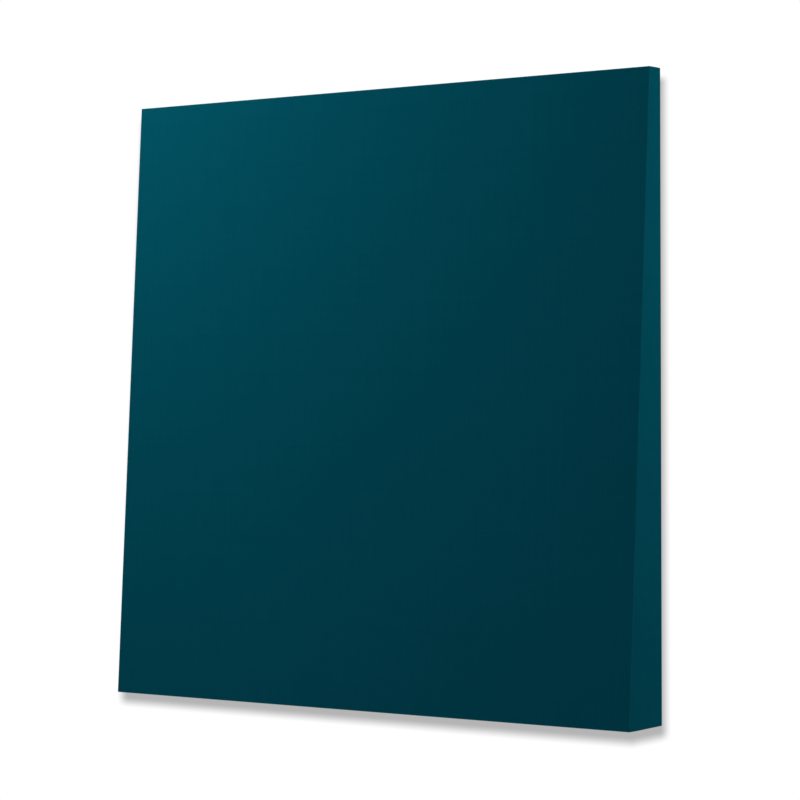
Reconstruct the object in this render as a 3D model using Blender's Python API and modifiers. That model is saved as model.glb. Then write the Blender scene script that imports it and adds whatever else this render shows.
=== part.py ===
# A tapered, square acoustic wall panel: a timber frame round a wedge of mineral wool, wrapped in cloth
# and hung on a pair of interlocking aluminium rails.
# Metres, +Z up. The wall is the plane y = 0 and the face looks along -Y.
# The origin is the middle of the wall rail's back face.

import math

import bmesh
import bpy
from mathutils import Matrix, Vector

# Outside of the wrapped panel
PANEL_WIDTH = 0.600
PANEL_HEIGHT = 0.600
DEPTH_TOP = 0.020
DEPTH_BOTTOM = 0.060

# Layers, and the gap left between pieces that touch
CLEARANCE = 0.0003
CLOTH_THICKNESS = 0.0008
COVER_EDGE_RADIUS = 0.0012
HEM_WIDTH = 0.025
WADDING_THICKNESS = 0.0020
BACK_CLOTH_THICKNESS = 0.0005
BACK_CLOTH_MARGIN = 0.006

# Timber frame
STILE_WIDTH = 0.035
BOTTOM_RAIL_HEIGHT = 0.035
TOP_RAIL_FOOT = 0.004
TIMBER_ARRIS = 0.0005
BLOCK_LEG = 0.050
BLOCK_TIP = 0.006
BLOCK_THICKNESS = 0.009

# Interlocking aluminium rails, both cut from one Z-shaped extrusion
RAIL_THICKNESS = 0.0025
RAIL_PLATE_HEIGHT = 0.020
RAIL_LIP_HEIGHT = 0.010
RAIL_LIP_PLAY = 0.0003
RAIL_BACK_PLAY = 0.0012
RAIL_ARRIS = 0.0003
HANGING_RAIL_LENGTH = 0.240
HANGING_RAIL_TO_HEM = 0.002
WALL_RAIL_LENGTH = 0.210
WALL_HOLE_RADIUS = 0.0025
HOLES_PER_RAIL = 4
HOLE_TO_RAIL_END = 0.018

# Rubber bumpers at the two bottom corners
BUMPER_RADIUS = 0.0095
BUMPER_DRAFT = 0.0008
BUMPER_ROUND = 0.0008
BUMPER_FLOOR = 0.0026
BUMPER_EDGE = 0.006

# Pan-head screws, for the hanging rail and the bumpers
PAN_SHANK_RADIUS = 0.0018
PAN_HEAD_RADIUS = 0.0036
PAN_HEAD_HEIGHT = 0.0023
PAN_GRIP = 0.010

# Countersunk screws that hold the frame together
FRAME_SHANK_RADIUS = 0.0020
FRAME_HEAD_RADIUS = 0.0040
FRAME_HEAD_HEIGHT = 0.0030
FRAME_GRIP = 0.025

# Cross recess in every screw head
RECESS_ARM = 0.0022
RECESS_WIDTH = 0.0010
RECESS_DEPTH = 0.0011
RECESS_TURN = math.radians(8)
SCREW_POINT = 0.0030
SCREW_SIDES = 16

# Staples through the hem
STAPLE_CROWN = 0.010
STAPLE_LEG = 0.006
STAPLE_WIRE_WIDTH = 0.0012
STAPLE_WIRE_THICKNESS = 0.0006
STAPLE_BEND = 0.0005
STAPLE_TURN = math.radians(5)
STAPLES_PER_SIDE = 7
STAPLE_CORNER_MARGIN = 0.042

# How far a cutter reaches past what it cuts
OVERCUT = 0.002

# Planes that follow from the sizes above, from the wall towards the face
RAIL_SLOT = RAIL_THICKNESS + RAIL_LIP_PLAY + RAIL_BACK_PLAY
SEAT_Y = -(2 * RAIL_SLOT - RAIL_LIP_PLAY)
BACK_CLOTH_Y = SEAT_Y - CLEARANCE
TIMBER_Y = BACK_CLOTH_Y - BACK_CLOTH_THICKNESS - CLEARANCE
HEM_Y = BACK_CLOTH_Y + CLEARANCE + CLOTH_THICKNESS

# Heights. The rails overlap by a lip, and the origin is at the middle of the wall rail's plate.
WALL_WEB_Z = RAIL_PLATE_HEIGHT / 2
HANGING_WEB_Z = WALL_WEB_Z + CLEARANCE + RAIL_LIP_HEIGHT
PANEL_TOP = HANGING_WEB_Z + RAIL_PLATE_HEIGHT + HANGING_RAIL_TO_HEM + HEM_WIDTH
PANEL_BOTTOM = PANEL_TOP - PANEL_HEIGHT
RAIL_SCREW_Z = HANGING_WEB_Z + (RAIL_THICKNESS + RAIL_PLATE_HEIGHT) / 2

# The timber frame's outline inside the cloth
FRAME_INSET = CLOTH_THICKNESS + CLEARANCE
FRAME_X = PANEL_WIDTH / 2 - FRAME_INSET
FRAME_TOP = PANEL_TOP - FRAME_INSET
FRAME_BOTTOM = PANEL_BOTTOM + FRAME_INSET
OPENING_X = FRAME_X - STILE_WIDTH
OPENING_TOP = HANGING_WEB_Z - TOP_RAIL_FOOT
OPENING_BOTTOM = FRAME_BOTTOM + BOTTOM_RAIL_HEIGHT
WADDING_INSET = FRAME_INSET + WADDING_THICKNESS
TIMBER_INSET = WADDING_INSET + CLEARANCE

SLOPE = (DEPTH_BOTTOM - DEPTH_TOP) / PANEL_HEIGHT

# The direction that each local Z axis takes: towards the wall, or out of the panel's right or left side
HEAD_TO_WALL = (-math.pi / 2, 0, 0)
HEAD_TO_RIGHT = (0, math.pi / 2, 0)
HEAD_TO_LEFT = (0, -math.pi / 2, 0)

for old in list(bpy.data.objects):
    bpy.data.objects.remove(old, do_unlink=True)


def new_collection(name):
    made = bpy.data.collections.new(name)
    bpy.context.scene.collection.children.link(made)
    return made


PARTS = new_collection("acoustic_panel")
CUTTERS = new_collection("cutters")


def finish_material(name, colour, roughness, metallic=0.0):
    made = bpy.data.materials.new(name)
    made.use_nodes = True
    shader = made.node_tree.nodes["Principled BSDF"]
    shader.inputs["Base Color"].default_value = (*colour, 1)
    shader.inputs["Roughness"].default_value = roughness
    shader.inputs["Metallic"].default_value = metallic
    return made


TEAL_CLOTH = finish_material("teal_cloth", (0.0006, 0.050, 0.074), 0.95)
WADDING = finish_material("wadding", (0.75, 0.75, 0.72), 1.0)
BLACK_CLOTH = finish_material("black_cloth", (0.012, 0.012, 0.013), 0.95)
MINERAL_WOOL = finish_material("mineral_wool", (0.36, 0.30, 0.16), 1.0)
PINE = finish_material("pine", (0.58, 0.40, 0.22), 0.65)
PLYWOOD = finish_material("plywood", (0.50, 0.36, 0.21), 0.7)
ALUMINIUM = finish_material("aluminium", (0.72, 0.73, 0.74), 0.35, 1.0)
STEEL = finish_material("zinc_plated_steel", (0.60, 0.60, 0.58), 0.35, 1.0)
RUBBER = finish_material("black_rubber", (0.018, 0.018, 0.018), 0.8)


def parent_empty(name, place):
    empty = bpy.data.objects.new(name, None)
    empty.location = place
    PARTS.objects.link(empty)
    return empty


# The wall rail stays on the wall. All the rest lifts off together, straight up from the lip it hangs on.
WALL = parent_empty("wall", (0, 0, 0))
PANEL = parent_empty("panel", (0, SEAT_Y, HANGING_WEB_Z))


def place_part(name, mesh, material, parent=PANEL, location=(0, 0, 0), rotation=(0, 0, 0)):
    part = bpy.data.objects.new(name, mesh)
    part.location = location
    part.rotation_euler = rotation
    part.parent = parent
    part.matrix_parent_inverse = Matrix.Translation(-Vector(parent.location))
    if not mesh.materials:
        mesh.materials.append(material)
    PARTS.objects.link(part)
    return part


def place_cutter(name, mesh):
    cutter = bpy.data.objects.new(name, mesh)
    cutter.hide_render = True
    cutter.display_type = "WIRE"
    CUTTERS.objects.link(cutter)
    return cutter


def cut(part, cutter):
    boolean = part.modifiers.new(cutter.name, "BOOLEAN")
    boolean.operation = "DIFFERENCE"
    boolean.object = cutter
    boolean.solver = "EXACT"


def round_edges(part, width, segments=1):
    bevel = part.modifiers.new("arris", "BEVEL")
    bevel.width = width
    bevel.segments = segments
    bevel.limit_method = "ANGLE"
    bevel.angle_limit = math.radians(30)


def evaluated_mesh(part):
    """The mesh that an object's modifiers or curve make, welded, in the object's own axes."""
    graph = bpy.context.evaluated_depsgraph_get()
    mesh = bpy.data.meshes.new_from_object(part.evaluated_get(graph))
    data = part.data
    bpy.data.objects.remove(part, do_unlink=True)
    (bpy.data.curves if isinstance(data, bpy.types.Curve) else bpy.data.meshes).remove(data)
    bm = bmesh.new()
    bm.from_mesh(mesh)
    bmesh.ops.remove_doubles(bm, verts=bm.verts, dist=0.00001)
    bmesh.ops.recalc_face_normals(bm, faces=bm.faces)
    bm.to_mesh(mesh)
    bm.free()
    return mesh


def mesh_from(bm, name):
    mesh = bpy.data.meshes.new(name)
    bm.to_mesh(mesh)
    bm.free()
    return mesh


def add_box(bm, low, high, placed=Matrix.Identity(4)):
    low, high = Vector(low), Vector(high)
    size = Matrix.Diagonal((*(high - low), 1))
    bmesh.ops.create_cube(bm, size=1, matrix=placed @ Matrix.Translation((low + high) / 2) @ size)


def add_cylinder(bm, radius, low, high, placed):
    middle = Matrix.Translation((0, 0, (low + high) / 2))
    bmesh.ops.create_cone(
        bm,
        cap_ends=True,
        segments=SCREW_SIDES,
        radius1=radius,
        radius2=radius,
        depth=high - low,
        matrix=placed @ middle,
    )


def face_y(z, inset=0.0):
    """The y of the sloping plane that lies inset behind the cloth's face, at the height z."""
    return HEM_Y - DEPTH_TOP - (PANEL_TOP - z) * SLOPE + inset * math.hypot(1, SLOPE)


def wedge_mesh(name, x_low, x_high, z_low, z_high, back, front_inset, back_inset=None):
    """A block whose front follows the panel's sloping face, and whose back is upright or follows it too."""
    bm = bmesh.new()
    add_box(bm, (x_low, -1, z_low), (x_high, 1, z_high))
    for vertex in bm.verts:
        if vertex.co.y < 0:
            vertex.co.y = face_y(vertex.co.z, front_inset)
        elif back_inset is None:
            vertex.co.y = back
        else:
            vertex.co.y = face_y(vertex.co.z, back_inset)
    return mesh_from(bm, name)


def plate_mesh(name, outline, thickness):
    """A flat outline in its own XY plane, made into a plate that reaches half its thickness each way in Z."""
    curve = bpy.data.curves.new(name, "CURVE")
    curve.dimensions = "2D"
    curve.fill_mode = "BOTH"
    curve.extrude = thickness / 2
    spline = curve.splines.new("POLY")
    spline.points.add(len(outline) - 1)
    for point, (x, y) in zip(spline.points, outline):
        point.co = (x, y, 0, 1)
    spline.use_cyclic_u = True
    holder = bpy.data.objects.new(name, curve)
    CUTTERS.objects.link(holder)
    return evaluated_mesh(holder)


def turned_object(name, profile, closed):
    """A profile of (radius, height) points, from the top down its outer side, turned about Z."""
    mesh = bpy.data.meshes.new(name)
    edges = [(i, i + 1) for i in range(len(profile) - 1)]
    if closed:
        edges.append((len(profile) - 1, 0))
    mesh.from_pydata([(radius, 0, height) for radius, height in profile], edges, [])
    holder = bpy.data.objects.new(name, mesh)
    CUTTERS.objects.link(holder)
    screw = holder.modifiers.new("turn", "SCREW")
    screw.angle = math.tau
    screw.steps = SCREW_SIDES
    screw.render_steps = SCREW_SIDES
    screw.use_merge_vertices = True
    screw.merge_threshold = 0.00001
    return holder


def arc(centre, radius, start, end, steps):
    """Points along an arc, with the angles in degrees."""
    turns = [math.radians(start + (end - start) * i / steps) for i in range(steps + 1)]
    return [(centre[0] + radius * math.cos(t), centre[1] + radius * math.sin(t)) for t in turns]


def shade(mesh):
    mesh.shade_smooth()
    mesh.set_sharp_from_angle(angle=math.radians(35))
    return mesh


def screw_mesh(name, profile, top):
    """A turned screw whose head has a cross recess in its top."""
    body = turned_object(name, profile, closed=False)
    arm, half = RECESS_ARM, RECESS_WIDTH / 2
    cross = [(arm, -half), (arm, half), (half, half), (half, arm), (-half, arm), (-half, half)]
    cross += [(-x, -y) for x, y in cross]
    recess = place_cutter(f"{name}_recess", plate_mesh(f"{name}_recess", cross, 2 * RECESS_DEPTH))
    recess.location.z = top
    recess.rotation_euler.z = RECESS_TURN
    cut(body, recess)
    return shade(evaluated_mesh(body))


# Pan-head screw: its own Z = 0 is the underside of the head
def pan_profile(length):
    dome = arc((0, PAN_HEAD_HEIGHT / 2), PAN_HEAD_HEIGHT / 2, 90, 0, 3)
    flat = PAN_HEAD_RADIUS - PAN_HEAD_HEIGHT / 2
    head = [(0, PAN_HEAD_HEIGHT)] + [(flat + x, z) for x, z in dome] + [(PAN_HEAD_RADIUS, 0)]
    shank = [(PAN_SHANK_RADIUS, 0), (PAN_SHANK_RADIUS, SCREW_POINT - length), (0, -length)]
    return head + shank


# Countersunk screw: its own Z = 0 is the flat top of the head
def countersunk_profile(length, grow=0.0):
    over = OVERCUT if grow else 0.0
    head = [(0, over), (FRAME_HEAD_RADIUS + grow, over)]
    if grow:
        head.append((FRAME_HEAD_RADIUS + grow, 0))
    shank = FRAME_SHANK_RADIUS + grow
    tip = length + grow
    return head + [(shank, -FRAME_HEAD_HEIGHT - grow), (shank, SCREW_POINT - tip), (0, -tip)]


# Where each fastener goes

def hole_places(rail_length):
    """The x of each hole along a rail, spread evenly between its two end holes."""
    end = rail_length / 2 - HOLE_TO_RAIL_END
    return [end * (2 * i / (HOLES_PER_RAIL - 1) - 1) for i in range(HOLES_PER_RAIL)]


RAIL_SCREW_Y = SEAT_Y + RAIL_THICKNESS + CLEARANCE
RAIL_SCREW_LENGTH = RAIL_SCREW_Y - TIMBER_Y + PAN_GRIP
BUMPER_Y = HEM_Y + CLEARANCE
BUMPER_SCREW_Y = BUMPER_Y + BUMPER_FLOOR + CLEARANCE
BUMPER_SCREW_LENGTH = BUMPER_SCREW_Y - TIMBER_Y + PAN_GRIP
BUMPER_X = PANEL_WIDTH / 2 - BUMPER_EDGE - BUMPER_RADIUS
BUMPER_Z = PANEL_BOTTOM + BUMPER_EDGE + BUMPER_RADIUS
FRAME_SCREW_LENGTH = STILE_WIDTH + FRAME_GRIP


def frame_screw_places():
    """The (y, z) of the two screws at each end of the top rail, then of the bottom rail."""
    places = []
    for share in (0.25, 0.75):
        z = FRAME_TOP + (OPENING_TOP - FRAME_TOP) * share
        places.append(("top", (TIMBER_Y + face_y(z, TIMBER_INSET)) / 2, z))
    z = (FRAME_BOTTOM + OPENING_BOTTOM) / 2
    for share in (1 / 3, 2 / 3):
        places.append(("bottom", TIMBER_Y + (face_y(z, TIMBER_INSET) - TIMBER_Y) * share, z))
    return places


def staple_places():
    """The name, x, z and turn of each staple, along the middle of the hem on the four sides."""
    half_x = PANEL_WIDTH / 2
    middle_z = (PANEL_TOP + PANEL_BOTTOM) / 2
    half_z = PANEL_HEIGHT / 2
    row_x, row_z = half_x - HEM_WIDTH / 2, half_z - HEM_WIDTH / 2
    places = []
    for i in range(STAPLES_PER_SIDE):
        along = 2 * i / (STAPLES_PER_SIDE - 1) - 1
        x, z = along * (half_x - STAPLE_CORNER_MARGIN), along * (half_z - STAPLE_CORNER_MARGIN)
        turn = STAPLE_TURN * math.sin(2.4 * i)
        places.append((f"staple_top_{i + 1}", x, middle_z + row_z, turn))
        places.append((f"staple_bottom_{i + 1}", x, middle_z - row_z, -turn))
        places.append((f"staple_left_{i + 1}", -row_x, middle_z + z, math.pi / 2 - turn))
        places.append((f"staple_right_{i + 1}", row_x, middle_z + z, math.pi / 2 + turn))
    return places


def staple_matrix(x, z, turn):
    """The staple's own X runs along its crown, and its own Y points at the wall from the hem."""
    return Matrix.Translation((x, HEM_Y, z)) @ Matrix.Rotation(turn, 4, "Y")


# Cutters: one for every screw and staple leg that goes in from the back, one for the frame screws

def back_hole_cutter():
    bm = bmesh.new()
    to_wall = Matrix.Rotation(HEAD_TO_WALL[0], 4, "X")
    radius = PAN_SHANK_RADIUS + CLEARANCE
    for x in hole_places(HANGING_RAIL_LENGTH):
        place = Matrix.Translation((x, RAIL_SCREW_Y, RAIL_SCREW_Z)) @ to_wall
        add_cylinder(bm, radius, -RAIL_SCREW_LENGTH - CLEARANCE, OVERCUT, place)
    for side in (-1, 1):
        place = Matrix.Translation((side * BUMPER_X, BUMPER_SCREW_Y, BUMPER_Z)) @ to_wall
        add_cylinder(bm, radius, -BUMPER_SCREW_LENGTH - CLEARANCE, OVERCUT, place)
    for _, x, z, turn in staple_places():
        place = staple_matrix(x, z, turn)
        for side in (-1, 1):
            outer = side * (STAPLE_CROWN / 2 + CLEARANCE)
            inner = side * (STAPLE_CROWN / 2 - STAPLE_WIRE_THICKNESS - CLEARANCE)
            half = STAPLE_WIRE_WIDTH / 2 + CLEARANCE
            low = (min(outer, inner), -STAPLE_LEG - CLEARANCE, -half)
            add_box(bm, low, (max(outer, inner), OVERCUT, half), place)
    return place_cutter("back_holes", mesh_from(bm, "back_holes"))


def frame_screw_cutter():
    hole = evaluated_mesh(
        turned_object("frame_screw_hole", countersunk_profile(FRAME_SCREW_LENGTH, CLEARANCE), False)
    )
    bm = bmesh.new()
    for side in (-1, 1):
        for _, y, z in frame_screw_places():
            before = len(bm.verts)
            bm.from_mesh(hole)
            bm.verts.ensure_lookup_table()
            place = Matrix.Translation((side * (FRAME_X - CLEARANCE), y, z))
            place = place @ Matrix.Rotation(side * math.pi / 2, 4, "Y")
            bmesh.ops.transform(bm, matrix=place, verts=bm.verts[before:])
    bpy.data.meshes.remove(hole)
    return place_cutter("frame_screw_holes", mesh_from(bm, "frame_screw_holes"))


BACK_HOLES = back_hole_cutter()
FRAME_SCREW_HOLES = frame_screw_cutter()


def make_frame():
    timbers = (
        ("top_rail", -OPENING_X + CLEARANCE, OPENING_X - CLEARANCE, OPENING_TOP, FRAME_TOP),
        ("bottom_rail", -OPENING_X + CLEARANCE, OPENING_X - CLEARANCE, FRAME_BOTTOM, OPENING_BOTTOM),
        ("left_stile", -FRAME_X, -OPENING_X, FRAME_BOTTOM, FRAME_TOP),
        ("right_stile", OPENING_X, FRAME_X, FRAME_BOTTOM, FRAME_TOP),
    )
    for name, x_low, x_high, z_low, z_high in timbers:
        mesh = wedge_mesh(name, x_low, x_high, z_low, z_high, TIMBER_Y, TIMBER_INSET)
        timber = place_part(name, mesh, PINE)
        round_edges(timber, TIMBER_ARRIS)
        cut(timber, BACK_HOLES)
        cut(timber, FRAME_SCREW_HOLES)


def block_outline(side_x, side_z, grow=0.0):
    """A right-angled block in the opening's corner, with its two sharp tips cut off."""
    leg, tip = BLOCK_LEG + 2 * grow, BLOCK_TIP + grow
    corner_x = side_x * (OPENING_X - CLEARANCE + grow)
    corner_z = (OPENING_TOP - CLEARANCE + grow) if side_z > 0 else (OPENING_BOTTOM + CLEARANCE - grow)
    steps = ((0, 0), (leg, 0), (leg, tip), (tip, leg), (0, leg))
    return [(corner_x - side_x * a, corner_z - side_z * b) for a, b in steps]


CORNERS = (("top_left", -1, 1), ("top_right", 1, 1), ("bottom_left", -1, -1), ("bottom_right", 1, -1))


def make_corner_blocks():
    for corner, side_x, side_z in CORNERS:
        name = f"corner_block_{corner}"
        mesh = plate_mesh(name, block_outline(side_x, side_z), BLOCK_THICKNESS)
        place = (0, TIMBER_Y - BLOCK_THICKNESS / 2, 0)
        place_part(name, mesh, PLYWOOD, location=place, rotation=(math.pi / 2, 0, 0))


def make_core():
    mesh = wedge_mesh(
        "absorber_core",
        -OPENING_X + CLEARANCE,
        OPENING_X - CLEARANCE,
        OPENING_BOTTOM + CLEARANCE,
        OPENING_TOP - CLEARANCE,
        TIMBER_Y,
        TIMBER_INSET,
    )
    core = place_part("absorber_core", mesh, MINERAL_WOOL)
    depth = BLOCK_THICKNESS + CLEARANCE + OVERCUT
    for corner, side_x, side_z in CORNERS:
        name = f"core_notch_{corner}"
        notch = place_cutter(name, plate_mesh(name, block_outline(side_x, side_z, 2 * CLEARANCE), depth))
        notch.location.y = TIMBER_Y + OVERCUT - depth / 2
        notch.rotation_euler.x = math.pi / 2
        cut(core, notch)


def make_wadding():
    mesh = wedge_mesh(
        "face_wadding", -FRAME_X, FRAME_X, FRAME_BOTTOM, FRAME_TOP, 0, FRAME_INSET, WADDING_INSET
    )
    place_part("face_wadding", mesh, WADDING)


def make_cover():
    """One piece of cloth over the face and the four sides, with its hem turned onto the back."""
    mesh = wedge_mesh(
        "fabric_cover", -PANEL_WIDTH / 2, PANEL_WIDTH / 2, PANEL_BOTTOM, PANEL_TOP, HEM_Y, 0
    )
    bm = bmesh.new()
    bm.from_mesh(mesh)
    back = [face for face in bm.faces if face.normal.y > 0.99]
    bmesh.ops.inset_region(bm, faces=back, thickness=HEM_WIDTH, use_even_offset=True)
    bmesh.ops.delete(bm, geom=back, context="FACES")
    bm.to_mesh(mesh)
    bm.free()
    cover = place_part("fabric_cover", shade(mesh), TEAL_CLOTH)
    round_edges(cover, COVER_EDGE_RADIUS, 3)
    thicken = cover.modifiers.new("cloth", "SOLIDIFY")
    thicken.thickness = CLOTH_THICKNESS
    thicken.offset = -1
    thicken.use_even_offset = True
    cut(cover, BACK_HOLES)


def make_back_cloth():
    bm = bmesh.new()
    x = FRAME_X - BACK_CLOTH_MARGIN
    low = (-x, BACK_CLOTH_Y - BACK_CLOTH_THICKNESS, FRAME_BOTTOM + BACK_CLOTH_MARGIN)
    add_box(bm, low, (x, BACK_CLOTH_Y, FRAME_TOP - BACK_CLOTH_MARGIN))
    cut(place_part("back_cloth", mesh_from(bm, "back_cloth"), BLACK_CLOTH), BACK_HOLES)


def rail_outline():
    """The extrusion's section: X is the distance from what it is fixed to, Y runs from web to plate."""
    inner, outer = RAIL_SLOT, RAIL_SLOT + RAIL_THICKNESS
    plate = [(0, 0), (inner, 0), (inner, -RAIL_LIP_HEIGHT), (outer, -RAIL_LIP_HEIGHT)]
    lip = [(outer, RAIL_THICKNESS), (RAIL_THICKNESS, RAIL_THICKNESS)]
    return plate + lip + [(RAIL_THICKNESS, RAIL_PLATE_HEIGHT), (0, RAIL_PLATE_HEIGHT)]


def wall_hole_cutter():
    bm = bmesh.new()
    to_wall = Matrix.Rotation(HEAD_TO_WALL[0], 4, "X")
    for x in hole_places(WALL_RAIL_LENGTH):
        add_cylinder(
            bm, WALL_HOLE_RADIUS, -RAIL_THICKNESS - OVERCUT, OVERCUT, Matrix.Translation((x, 0, 0)) @ to_wall
        )
    return place_cutter("wall_holes", mesh_from(bm, "wall_holes"))


def make_rails():
    quarter = math.pi / 2
    hanging = place_part(
        "hanging_rail",
        plate_mesh("hanging_rail", rail_outline(), HANGING_RAIL_LENGTH),
        ALUMINIUM,
        location=(0, SEAT_Y, HANGING_WEB_Z),
        rotation=(quarter, 0, quarter),
    )
    round_edges(hanging, RAIL_ARRIS)
    cut(hanging, BACK_HOLES)
    wall = place_part(
        "wall_rail",
        plate_mesh("wall_rail", rail_outline(), WALL_RAIL_LENGTH),
        ALUMINIUM,
        parent=WALL,
        location=(0, 0, WALL_WEB_Z),
        rotation=(-quarter, 0, -quarter),
    )
    round_edges(wall, RAIL_ARRIS)
    cut(wall, wall_hole_cutter())


def make_bumpers():
    height = -BUMPER_Y
    face, hole = BUMPER_RADIUS - BUMPER_DRAFT, PAN_SHANK_RADIUS + CLEARANCE
    recess = PAN_HEAD_RADIUS + 2 * CLEARANCE
    rim = arc((face - BUMPER_ROUND, height - BUMPER_ROUND), BUMPER_ROUND, 90, 0, 3)
    profile = [(recess, height)] + rim + [(BUMPER_RADIUS, 0), (hole, 0)]
    profile += [(hole, BUMPER_FLOOR), (recess, BUMPER_FLOOR)]
    mesh = shade(evaluated_mesh(turned_object("bumper", profile, closed=True)))
    for name, side in (("left", -1), ("right", 1)):
        place_part(
            f"bumper_{name}", mesh, RUBBER, location=(side * BUMPER_X, BUMPER_Y, BUMPER_Z), rotation=HEAD_TO_WALL
        )


def make_screws():
    rail_screw = screw_mesh("rail_screw", pan_profile(RAIL_SCREW_LENGTH), PAN_HEAD_HEIGHT)
    for i, x in enumerate(hole_places(HANGING_RAIL_LENGTH)):
        place = (x, RAIL_SCREW_Y, RAIL_SCREW_Z)
        place_part(f"rail_screw_{i + 1}", rail_screw, STEEL, location=place, rotation=HEAD_TO_WALL)
    bumper_screw = screw_mesh("bumper_screw", pan_profile(BUMPER_SCREW_LENGTH), PAN_HEAD_HEIGHT)
    for name, side in (("left", -1), ("right", 1)):
        place = (side * BUMPER_X, BUMPER_SCREW_Y, BUMPER_Z)
        place_part(f"bumper_screw_{name}", bumper_screw, STEEL, location=place, rotation=HEAD_TO_WALL)
    frame_screw = screw_mesh("frame_screw", countersunk_profile(FRAME_SCREW_LENGTH), 0)
    for side, word, heading in ((-1, "left", HEAD_TO_LEFT), (1, "right", HEAD_TO_RIGHT)):
        for i, (end, y, z) in enumerate(frame_screw_places()):
            name = f"frame_screw_{end}_{word}_{i % 2 + 1}"
            place = (side * (FRAME_X - CLEARANCE), y, z)
            place_part(name, frame_screw, STEEL, location=place, rotation=heading)


def staple_outline():
    """A staple from the side: X along the crown, Y from the tips of its legs up to the crown."""
    half, wire, crown = STAPLE_CROWN / 2, STAPLE_WIRE_THICKNESS, CLEARANCE + STAPLE_WIRE_THICKNESS
    bend = arc((half - STAPLE_BEND, crown - STAPLE_BEND), STAPLE_BEND, 0, 90, 3)
    outer = [(half, -STAPLE_LEG)] + bend + [(-x, y) for x, y in reversed(bend)] + [(-half, -STAPLE_LEG)]
    inner = [(wire - half, -STAPLE_LEG), (wire - half, crown - wire)]
    return outer + inner + [(-x, y) for x, y in reversed(inner)]


def make_staples():
    mesh = plate_mesh("staple", staple_outline(), STAPLE_WIRE_WIDTH)
    for name, x, z, turn in staple_places():
        place_part(name, mesh, STEEL, location=(x, HEM_Y, z), rotation=(0, turn, 0))


make_frame()
make_corner_blocks()
make_core()
make_wadding()
make_cover()
make_back_cloth()
make_rails()
make_bumpers()
make_screws()
make_staples()
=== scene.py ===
# Acoustic wall panel: a pine frame round a wedge of mineral wool, wrapped in teal cloth,
# hung on two interlocking aluminium rails. Metres, z up, wall at y = 0, face towards -y.

import math
import random

import bmesh
import bpy
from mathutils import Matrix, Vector, noise


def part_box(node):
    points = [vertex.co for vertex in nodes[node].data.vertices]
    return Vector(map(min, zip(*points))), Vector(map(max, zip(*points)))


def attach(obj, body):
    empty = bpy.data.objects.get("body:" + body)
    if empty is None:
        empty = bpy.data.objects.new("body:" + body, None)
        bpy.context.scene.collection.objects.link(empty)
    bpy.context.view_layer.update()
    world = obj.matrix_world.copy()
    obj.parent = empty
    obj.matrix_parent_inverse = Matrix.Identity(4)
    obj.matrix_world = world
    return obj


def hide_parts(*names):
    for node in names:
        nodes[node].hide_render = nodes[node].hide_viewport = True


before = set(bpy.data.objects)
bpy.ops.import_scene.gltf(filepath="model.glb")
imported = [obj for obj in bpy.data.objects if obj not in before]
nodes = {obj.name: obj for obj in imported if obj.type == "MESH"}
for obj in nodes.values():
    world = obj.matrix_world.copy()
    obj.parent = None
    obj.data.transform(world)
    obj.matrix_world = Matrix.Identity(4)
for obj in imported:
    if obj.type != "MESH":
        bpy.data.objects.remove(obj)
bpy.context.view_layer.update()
millimetre = 0.001
facingShare = 0.7  # how much of a normal lies along an axis when a face looks that way
print("frame loaded:", len(nodes), "nodes")


# Camera: level with the middle of the panel, 35 degrees round to its right

cameraView = {
    "spot": (1.4663, -2.1214, -0.2362),
    "turn": (90.0294, 0.1471, 34.5482),  # degrees, with the photo's slight roll
    "lens": 118.52,
    "clip": (0.05, 50),
}


def placeCamera(view):
    data = bpy.data.cameras.new("camera")
    data.lens = view["lens"]
    data.clip_start, data.clip_end = view["clip"]
    camera = bpy.data.objects.new("camera", data)
    camera.location = view["spot"]
    camera.rotation_euler = [math.radians(a) for a in view["turn"]]
    bpy.context.scene.collection.objects.link(camera)
    bpy.context.scene.camera = camera


placeCamera(cameraView)
print("camera placed")


# Sizes that the CAD pieces give

coverLow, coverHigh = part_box("fabric_cover")
halfWidth = coverHigh.x
panelTop, panelBottom = coverHigh.z, coverLow.z
middleZ = (panelTop + panelBottom) / 2
hemPlane = coverHigh.y
fullDepth = coverHigh.y - coverLow.y
thinDepth = fullDepth / 3  # the wedge's top is a third as deep as its foot
lean = (fullDepth - thinDepth) / (panelTop - panelBottom)
staples = [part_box(name) for name in nodes if name.startswith("staple_")]
stapleSpots = [((low.x + high.x) / 2, (low.z + high.z) / 2) for low, high in staples]


def faceAt(z, inset=0.0):
    # where the sloping face is at this height, or a plane that lies inside it
    return hemPlane - thinDepth - (panelTop - z) * lean + inset * math.hypot(1, lean)


# Shader sums: a Wire is one output socket, and sums on it add Math nodes

class Wire:
    def __init__(self, finish, socket):
        self.finish, self.socket = finish, socket

    def sum(self, operation, *values):
        return self.finish.add("Math", {"operation": operation}, dict(enumerate(values)))

    def __add__(self, other):
        return self.sum("ADD", self, other)

    def __sub__(self, other):
        return self.sum("SUBTRACT", self, other)

    def __rsub__(self, other):
        return self.sum("SUBTRACT", other, self)

    def __mul__(self, other):
        return self.sum("MULTIPLY", self, other)

    def __truediv__(self, other):
        return self.sum("DIVIDE", self, other)

    def __pow__(self, other):
        return self.sum("POWER", self, other)

    def __gt__(self, other):
        return self.sum("GREATER_THAN", self, other)

    def __abs__(self):
        return self.sum("ABSOLUTE", self)

    __radd__ = __add__
    __rmul__ = __mul__

    def sine(self):
        return self.sum("SINE", self)

    def floor(self):
        return self.sum("FLOOR", self)


# A material or a sky, and the one way that nodes are added to it

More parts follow.
